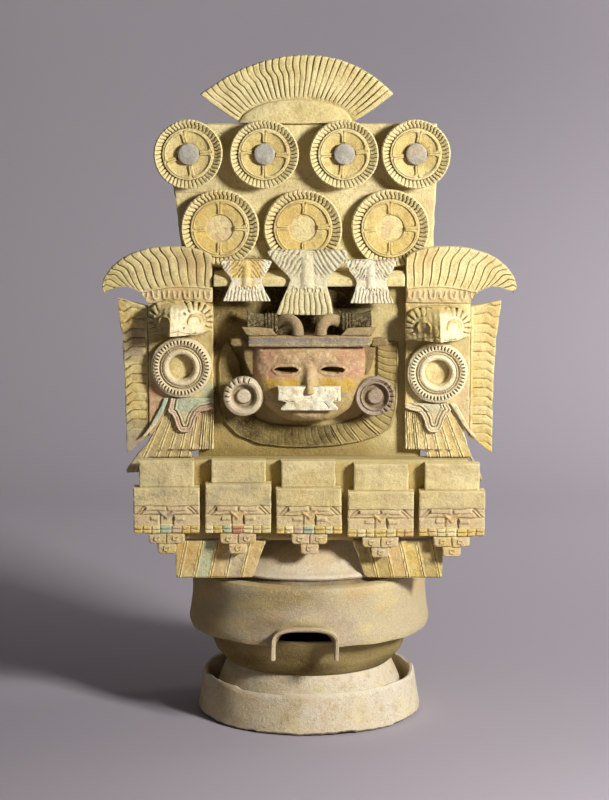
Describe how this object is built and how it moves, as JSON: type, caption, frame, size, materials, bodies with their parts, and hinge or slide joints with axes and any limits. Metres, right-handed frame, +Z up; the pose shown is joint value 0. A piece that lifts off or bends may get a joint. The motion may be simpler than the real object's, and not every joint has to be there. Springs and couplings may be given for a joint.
{
  "type": "lidded incense burner",
  "caption": "Clay theatre-type incense burner: flared brazier in a low stand, tall lid with chimney, mask, rosettes and feather plaques",
  "frame": {"origin": "centre of the stand's round foot, on the ground, on the axis of the pottery", "axes": "+Z up along the chimney, the mask faces -Y, +X is the viewer's right"},
  "size_m": [0.3772, 0.2356, 0.6203],
  "materials": {
    "pale_clay": "unglazed, pinkish cream",
    "buff_clay": "unglazed, matte buff",
    "ochre_clay": "unglazed, worn yellow ochre wash",
    "olive_clay": "unglazed, smoke-stained",
    "mask_clay": "burnished, worn red and yellow paint",
    "white_clay": "unglazed, chalky white wash",
    "painted_trim": "worn turquoise and pink paint",
    "mica": "grey mica disc"
  },
  "bodies": {
    "stand": {"stand_ring": "pale_clay"},
    "brazier": {"brazier_foot": "pale_clay", "brazier_bowl": "olive_clay"},
    "lid": {"back_wall": "olive_clay", "bird_centre": "white_clay", "bird_head_left": "ochre_clay", "bird_head_right": "ochre_clay", "bird_left": "ochre_clay", "bird_right": "white_clay", "chimney": "olive_clay", "crest_fan": "buff_clay", "ear_spool_left": "pale_clay", "ear_spool_right": "pale_clay", "feather_fan_left": "ochre_clay", "feather_fan_right": "ochre_clay", "feather_ruff": "buff_clay", "feather_strip_left": "ochre_clay", "feather_strip_right": "ochre_clay", "feather_tail_left": "ochre_clay", "feather_tail_right": "ochre_clay", "headband": "buff_clay", "headband_tab_left": "buff_clay", "headband_tab_right": "buff_clay", "house_block_1": "buff_clay", "house_block_2": "buff_clay", "house_block_3": "buff_clay", "house_block_4": "buff_clay", "house_block_5": "buff_clay", "lid_collar": "buff_clay", "lid_dome": "pale_clay", "lid_seat": "buff_clay", "lintel": "buff_clay", "lower_beam": "olive_clay", "mask": "mask_clay", "mica_buttons": "mica", "nose_pendant": "white_clay", "plume_left": "buff_clay", "plume_right": "buff_clay", "ribbon_left": "painted_trim", "ribbon_right": "painted_trim", "ring_left": "buff_clay", "ring_right": "buff_clay", "rosette_large_1": "ochre_clay", "rosette_large_2": "ochre_clay", "rosette_large_3": "ochre_clay", "rosette_small_1": "buff_clay", "rosette_small_2": "buff_clay", "rosette_small_3": "buff_clay", "rosette_small_4": "buff_clay", "saddle_lower": "olive_clay", "saddle_middle": "olive_clay", "saddle_upper": "olive_clay", "scroll_left": "buff_clay", "scroll_right": "buff_clay", "side_panel_left": "buff_clay", "side_panel_right": "buff_clay", "tongue_band_left": "painted_trim", "tongue_band_right": "painted_trim", "upper_panel": "buff_clay", "vent_hood": "buff_clay"}
  },
  "joints": [
    {"name": "brazier_lift", "type": "slide", "parent": "stand", "child": "brazier", "axis": [0, 0, 1], "range_m": [0, 0.08]},
    {"name": "lid_lift", "type": "slide", "parent": "brazier", "child": "lid", "axis": [0, 0, 1], "range_m": [0, 0.12]}
  ]
}
